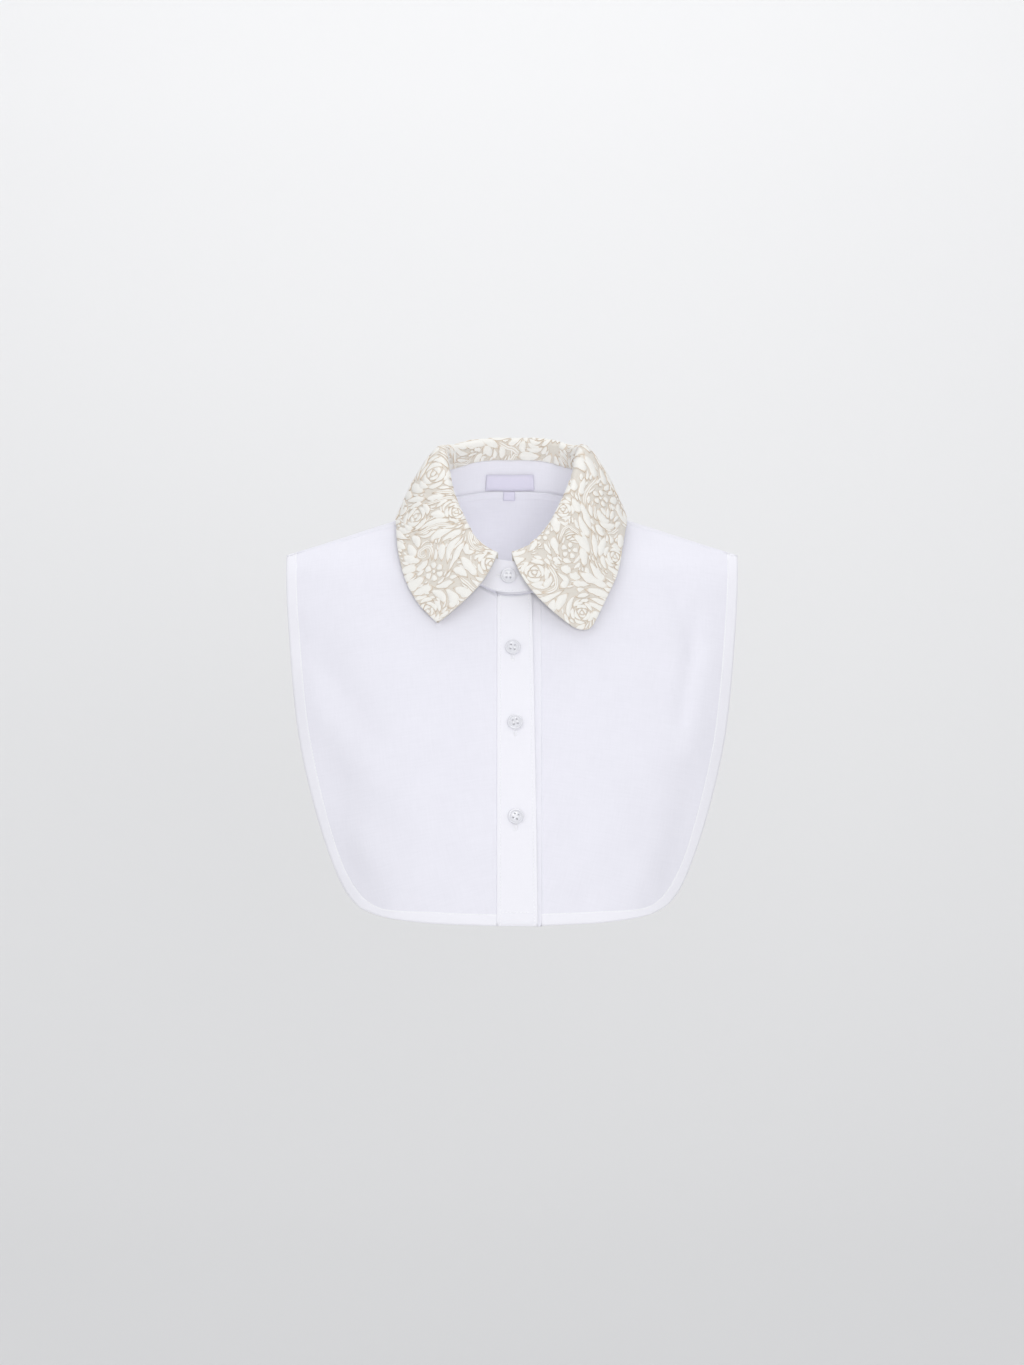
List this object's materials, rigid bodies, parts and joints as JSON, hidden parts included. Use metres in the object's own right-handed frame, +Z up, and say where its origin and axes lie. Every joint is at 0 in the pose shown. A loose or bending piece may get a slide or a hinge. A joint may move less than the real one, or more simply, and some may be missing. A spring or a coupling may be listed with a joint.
{
  "type": "lace collar",
  "caption": "Detachable bib-front shirt collar in white cotton with a lace-covered turned-down leaf and a buttoned placket.",
  "frame": {"origin": "midway between the two side-neck points, where the collar rests on its wearer", "axes": "+Z up, -Y towards the front, +X towards the viewer's right, which is the wearer's left"},
  "size_m": [0.3504, 0.2234, 0.3763],
  "materials": {
    "white_cotton": "matt plain weave",
    "ivory_lace": "matt raised lace on a pale ground",
    "under_cloth": "matt fine lace",
    "satin_label": "soft satin sheen",
    "clear_button": "pearly gloss"
  },
  "bodies": {
    "root": {"back": "white_cotton", "front_left": "white_cotton", "front_right": "white_cotton", "placket": "white_cotton", "button_band": "white_cotton", "hem_back": "white_cotton", "hem_front_left": "white_cotton", "hem_front_right": "white_cotton", "stand_outer": "white_cotton", "stand_inner": "white_cotton", "leaf_upper": "ivory_lace", "leaf_under": "under_cloth", "neck_label": "satin_label", "size_tab": "satin_label", "button_1": "clear_button", "button_2": "clear_button", "button_3": "clear_button", "button_stand": "clear_button"}
  },
  "joints": []
}
